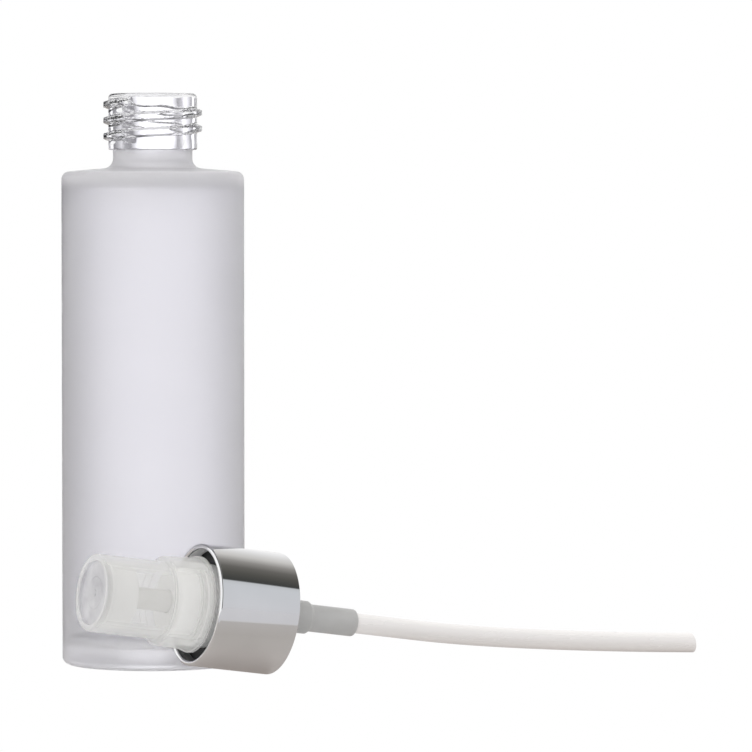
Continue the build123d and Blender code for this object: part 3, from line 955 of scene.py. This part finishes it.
# The floor is white to the camera and through glass, so it shows no shadows. Mirrors see it warm grey
# near the object, between these two places along Y in metres. It lights matt pieces more on the
# overcap's side.
FLOOR_NEAR = -0.039
FLOOR_FAR = -0.075
floor_material, tree, shader = new_material(
    "pale_floor", {"Base Color": (0.3, 0.295, 0.29, 1), "Roughness": 0.9}
)
coordinates = tree.nodes.new("ShaderNodeTexCoord")
parts = tree.nodes.new("ShaderNodeSeparateXYZ")
tree.links.new(coordinates.outputs["Object"], parts.inputs[0])
glow = tree.nodes.new("ShaderNodeEmission")
distance = spread(tree, parts.outputs[1], FLOOR_FAR, FLOOR_NEAR, 0.0, 1.0)
tree.links.new(
    ramp(
        tree,
        distance,
        [
            (0.0, (0.27, 0.275, 0.305)),
            (0.12, (0.26, 0.26, 0.275)),
            (0.2, (0.135, 0.122, 0.118)),
            (0.7, (0.135, 0.118, 0.105)),
            (0.9, (0.195, 0.175, 0.16)),
            (1.0, (0.235, 0.21, 0.195)),
        ],
    ),
    glow.inputs["Color"],
)
sheen = tree.nodes.new("ShaderNodeAddShader")
tree.links.new(shader.outputs[0], sheen.inputs[0])
tree.links.new(glow.outputs[0], sheen.inputs[1])
white = tree.nodes.new("ShaderNodeEmission")
white.inputs["Color"].default_value = (1, 1, 1, 1)
rays = tree.nodes.new("ShaderNodeLightPath")
mix = tree.nodes.new("ShaderNodeMixShader")
seen = math_node(tree, "MAXIMUM", rays.outputs["Is Camera Ray"], rays.outputs["Is Transmission Ray"])
left_side = spread(tree, parts.outputs[0], 0.012, 0.04, 0.9, 0.1, smooth=True)
lights_matt = math_node(tree, "MULTIPLY", rays.outputs["Is Diffuse Ray"], left_side)
seen = math_node(tree, "MAXIMUM", seen, lights_matt)
tree.links.new(seen, mix.inputs[0])
tree.links.new(sheen.outputs[0], mix.inputs[1])
tree.links.new(white.outputs[0], mix.inputs[2])
tree.links.new(mix.outputs[0], tree.nodes["Material Output"].inputs["Surface"])
floor_material.cycles.emission_sampling = "NONE"
floor_mesh.materials.append(floor_material)

# ---------------------------------------------------------------- studio: white behind, softer in front
VIEW_AZIMUTH = -27.0
view_turn = math.radians(VIEW_AZIMUTH)
forward = Vector((-math.sin(view_turn), math.cos(view_turn), 0))
right = Vector((forward.y, -forward.x, 0))

world = bpy.data.worlds.new("studio")
bpy.context.scene.world = world
world.use_nodes = True
tree = world.node_tree
background = tree.nodes["Background"]
where = tree.nodes.new("ShaderNodeTexCoord")
parts = tree.nodes.new("ShaderNodeSeparateXYZ")
tree.links.new(where.outputs["Generated"], parts.inputs[0])
x, y, z = parts.outputs
# 0 is behind and level, 0.25 straight down, 0.5 in front and level, 0.75 overhead
strip = math_node(tree, "ARCTAN2", z, math_node(tree, "MULTIPLY", y, -1.0))
strip = math_node(tree, "MULTIPLY_ADD", strip, 1 / (2 * math.pi), 0.5)


def strip_at(degrees_above_front):
    return 0.5 + degrees_above_front / 360


# what mirrors see: long panels that run along X, one above the other
panels = ramp(
    tree,
    strip,
    [
        (0.0, (1, 1, 1)),
        (strip_at(-90), (0.45, 0.43, 0.41)),
        (strip_at(-20), (0.45, 0.43, 0.41)),
        (strip_at(-17), (0.61, 0.61, 0.63)),
        (strip_at(10), (0.62, 0.63, 0.66)),
        (strip_at(44), (0.60, 0.62, 0.65)),
        (strip_at(52), (0.55, 0.57, 0.59)),
        (strip_at(54), (0.05, 0.052, 0.05)),
        (strip_at(72), (0.09, 0.088, 0.08)),
        (strip_at(87), (0.14, 0.135, 0.125)),
        (strip_at(103), (0.29, 0.28, 0.265)),
        (strip_at(122), (0.60, 0.59, 0.57)),
        (strip_at(150), (0.83, 0.83, 0.83)),
        (1.0, (1, 1, 1)),
    ],
)
# to the left of the set, a white wall with a narrow black flag, which the collar's lip reflects
wing = ramp(
    tree,
    spread(tree, x, -1, 1, 0, 1),
    [
        (0.0, (1, 1, 1)),
        (0.34, (1, 1, 1)),
        (0.37, (0.04, 0.04, 0.04)),
        (0.56, (0.04, 0.04, 0.04)),
        (0.62, (1, 1, 1)),
    ],
)
wing_weight = spread(tree, x, 0.2, 0.26, 1, 0)
# what shines through glass and on matt surfaces: a bright middle between two darker sides
sideways = tree.nodes.new("ShaderNodeVectorMath")
sideways.operation = "DOT_PRODUCT"
tree.links.new(where.outputs["Generated"], sideways.inputs[0])
sideways.inputs[1].default_value = right
across = spread(tree, sideways.outputs["Value"], -1, 1, 0, 1)


def across_at(side):
    return 0.5 + side / 2


tent = ramp(
    tree,
    across,
    [
        (across_at(-1.0), (0.9, 0.89, 0.94)),
        (across_at(-0.6), (0.30, 0.295, 0.32)),
        (across_at(-0.26), (0.18, 0.175, 0.195)),
        (across_at(-0.12), (1.46, 1.45, 1.52)),
        (across_at(0.12), (1.46, 1.45, 1.52)),
        (across_at(0.25), (0.34, 0.335, 0.36)),
        (across_at(0.6), (0.8, 0.79, 0.84)),
        (across_at(1.0), (1.6, 1.58, 1.66)),
    ],
)
upward = spread(tree, z, 0.25, 0.45, 1.0, 0.35, smooth=True)
dimmed = tree.nodes.new("ShaderNodeVectorMath")
dimmed.operation = "SCALE"
tree.links.new(tent, dimmed.inputs[0])
tree.links.new(upward, dimmed.inputs["Scale"])
tent = dimmed.outputs[0]
# what lights matt surfaces
soft = ramp(
    tree,
    spread(tree, z, -1, 1, 0, 1),
    [(0.0, (0.6, 0.6, 0.6)), (0.5, (0.98, 0.975, 0.97)), (1.0, (1.2, 1.19, 1.18))],
)
rays = tree.nodes.new("ShaderNodeLightPath")


def mix_colours(factor, first, second):
    node = tree.nodes.new("ShaderNodeMix")
    node.data_type = "RGBA"
    for socket, value in zip(("Factor", "A", "B"), (factor, first, second)):
        sockets = [s for s in node.inputs if s.name == socket and (socket == "Factor" or s.type == "RGBA")]
        number_or_link(tree, sockets[0], value)
    return next(s for s in node.outputs if s.type == "RGBA")


panels = mix_colours(wing_weight, panels, wing)
lit = mix_colours(rays.outputs["Is Glossy Ray"], soft, panels)
lit = mix_colours(rays.outputs["Is Transmission Ray"], lit, tent)
lit = mix_colours(rays.outputs["Is Camera Ray"], lit, (1, 1, 1, 1))
tree.links.new(lit, background.inputs["Color"])
background.inputs["Strength"].default_value = 1.0
world.cycles.sampling_method = "NONE"

# ---------------------------------------------------------------- camera and view
# It stands this far to the side, back and up from the bottle's base, in millimetres, and looks down by
# CAMERA_FALL degrees.
CAMERA_SIDE = 44.74
CAMERA_DISTANCE = 973.0
CAMERA_HEIGHT = 97.0
CAMERA_FALL = 2.31
CAMERA_LENS = 232.2
camera = bpy.data.objects.new("camera", bpy.data.cameras.new("camera"))
bpy.context.scene.collection.objects.link(camera)
camera.data.sensor_width = 36
camera.data.lens = CAMERA_LENS
camera.data.clip_start = 0.05
camera.data.clip_end = 20
camera.location = (right * CAMERA_SIDE - forward * CAMERA_DISTANCE + Vector((0, 0, CAMERA_HEIGHT))) * MM
camera.rotation_euler = (math.radians(90 - CAMERA_FALL), 0, view_turn)
bpy.context.scene.camera = camera
bpy.context.scene.view_settings.view_transform = "Standard"
